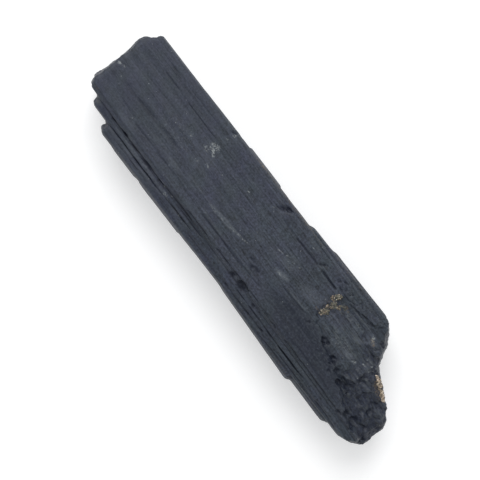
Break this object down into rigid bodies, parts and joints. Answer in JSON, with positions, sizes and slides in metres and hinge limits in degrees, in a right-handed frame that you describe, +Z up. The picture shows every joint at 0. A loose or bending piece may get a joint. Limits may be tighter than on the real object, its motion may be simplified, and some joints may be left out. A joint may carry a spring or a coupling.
{
  "type": "tourmaline crystal",
  "caption": "Black tourmaline rod with striated, furrowed prism faces, a blunt end, a ragged tip and crusts of pale matrix; it lies on its flat underside.",
  "frame": {"origin": "bottom centre of the crystal's box, in the plane of its flat underside", "axes": "+X along the crystal from the blunt end to the broken tip, +Y across it towards the long edge without side columns, +Z up"},
  "size_m": [0.087, 0.0222, 0.0141],
  "materials": {
    "schorl": "near-black blue-grey, satin on the prism faces and dull where broken, with fine striations along its length",
    "pale_matrix": "matt cream to tan grains",
    "tan_matrix": "matt tan crust"
  },
  "bodies": {
    "root": {"tourmaline_crystal": "schorl", "matrix_in_pocket": "pale_matrix", "matrix_on_tip": "tan_matrix"}
  },
  "joints": []
}
